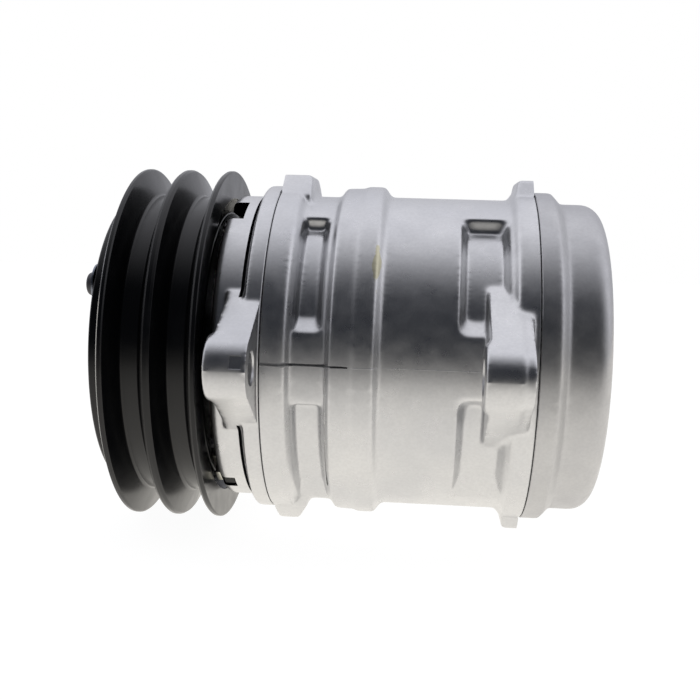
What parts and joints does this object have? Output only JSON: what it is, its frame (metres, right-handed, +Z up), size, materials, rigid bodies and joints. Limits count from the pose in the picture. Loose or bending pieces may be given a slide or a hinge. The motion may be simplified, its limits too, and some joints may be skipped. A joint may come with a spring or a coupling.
{
  "type": "automotive air conditioning compressor",
  "caption": "Belt-driven vehicle air-conditioning compressor: cast aluminium cylinder with mounting ears and a black V-belt clutch pulley.",
  "frame": {"origin": "middle of the bounding box, on the shaft axis", "axes": "+X along the shaft from the clutch towards the rear head, +Y and -Y towards the mounting ears, +Z up"},
  "size_m": [0.1864, 0.168, 0.135],
  "materials": {
    "cast_aluminium": "satin, as cast",
    "machined_aluminium": "machined",
    "black_steel": "satin black",
    "dark_steel": "blackened",
    "bright_steel": "ground",
    "zinc_steel": "zinc plated",
    "spring_steel": "tempered",
    "copper": "varnished winding",
    "black_rubber": "matt",
    "brass": "satin"
  },
  "bodies": {
    "housing": {"front_head": "cast_aluminium", "casing": "cast_aluminium", "rear_head": "cast_aluminium", "fixed_scroll": "machined_aluminium", "coil_housing": "dark_steel", "coil_ground_screw": "bright_steel", "coil_locating_pin": "bright_steel", "pulley_bearing_inner_race": "bright_steel", "main_bearing_outer_race": "bright_steel", "front_needle_shell": "bright_steel", "thrust_plate": "bright_steel", "anti_rotation_pin_1": "bright_steel", "anti_rotation_pin_2": "bright_steel", "anti_rotation_pin_3": "bright_steel", "anti_rotation_pin_4": "bright_steel", "reed_stop": "bright_steel", "housing_bolt_1": "zinc_steel", "housing_bolt_2": "zinc_steel", "housing_bolt_3": "zinc_steel", "housing_bolt_4": "zinc_steel", "housing_bolt_5": "zinc_steel", "housing_bolt_6": "zinc_steel", "oil_plug": "zinc_steel", "coil_lead_clip": "zinc_steel", "reed_screw": "zinc_steel", "coil_snap_ring": "spring_steel", "bearing_snap_ring": "spring_steel", "seal_snap_ring": "spring_steel", "discharge_reed": "spring_steel", "coil_winding": "copper", "front_joint_seal": "black_rubber", "rear_joint_seal": "black_rubber", "coil_lead_grommet": "black_rubber", "shaft_seal": "black_rubber", "relief_valve": "brass"},
    "pulley": {"pulley": "black_steel", "pulley_bearing_outer_race": "bright_steel", "pulley_bearing_seal": "black_rubber"},
    "shaft": {"drive_shaft": "bright_steel", "clutch_hub": "black_steel", "hub_nut": "zinc_steel", "adjusting_shim": "bright_steel", "leaf_spring_1": "spring_steel", "leaf_spring_2": "spring_steel", "leaf_spring_3": "spring_steel", "hub_rivet_1": "dark_steel", "hub_rivet_2": "dark_steel", "hub_rivet_3": "dark_steel", "main_bearing_inner_race": "bright_steel", "drive_bushing": "bright_steel", "counterweight": "dark_steel"},
    "armature": {"armature_plate": "black_steel", "armature_rivet_1": "dark_steel", "armature_rivet_2": "dark_steel", "armature_rivet_3": "dark_steel"},
    "pulley_balls": {"pulley_bearing_balls": "bright_steel"},
    "main_balls": {"main_bearing_balls": "bright_steel"},
    "front_needle_cage": {"front_needles": "bright_steel"},
    "orbit_needle_cage": {"orbit_needles": "bright_steel"},
    "orbiter": {"orbiting_scroll": "machined_aluminium"}
  },
  "joints": [
    {"name": "pulley_spin", "type": "hinge", "parent": "housing", "child": "pulley", "pos_m": [0, 0, 0], "axis": [1, 0, 0], "continuous": true},
    {"name": "pulley_ball_spin", "type": "hinge", "parent": "housing", "child": "pulley_balls", "pos_m": [0, 0, 0], "axis": [1, 0, 0], "continuous": true},
    {"name": "shaft_spin", "type": "hinge", "parent": "housing", "child": "shaft", "pos_m": [0, 0, 0], "axis": [1, 0, 0], "continuous": true},
    {"name": "main_ball_spin", "type": "hinge", "parent": "housing", "child": "main_balls", "pos_m": [0, 0, 0], "axis": [1, 0, 0], "continuous": true},
    {"name": "front_needle_spin", "type": "hinge", "parent": "housing", "child": "front_needle_cage", "pos_m": [0, 0, 0], "axis": [1, 0, 0], "continuous": true},
    {"name": "scroll_orbit", "type": "hinge", "parent": "shaft", "child": "orbiter", "pos_m": [0, 0, 0.0032], "axis": [1, 0, 0], "continuous": true},
    {"name": "orbit_needle_spin", "type": "hinge", "parent": "shaft", "child": "orbit_needle_cage", "pos_m": [0, 0, 0.0032], "axis": [1, 0, 0], "continuous": true},
    {"name": "armature_pull", "type": "slide", "parent": "shaft", "child": "armature", "axis": [1, 0, 0], "range_m": [0, 0.0004], "stiffness_N_per_m": 20000}
  ],
  "couplings": [
    {"joint": "pulley_ball_spin", "follows": "pulley_spin", "ratio": 0.553},
    {"joint": "main_ball_spin", "follows": "shaft_spin", "ratio": 0.405},
    {"joint": "front_needle_spin", "follows": "shaft_spin", "ratio": 0.443},
    {"joint": "scroll_orbit", "follows": "shaft_spin", "ratio": -1},
    {"joint": "orbit_needle_spin", "follows": "shaft_spin", "ratio": -0.555}
  ]
}
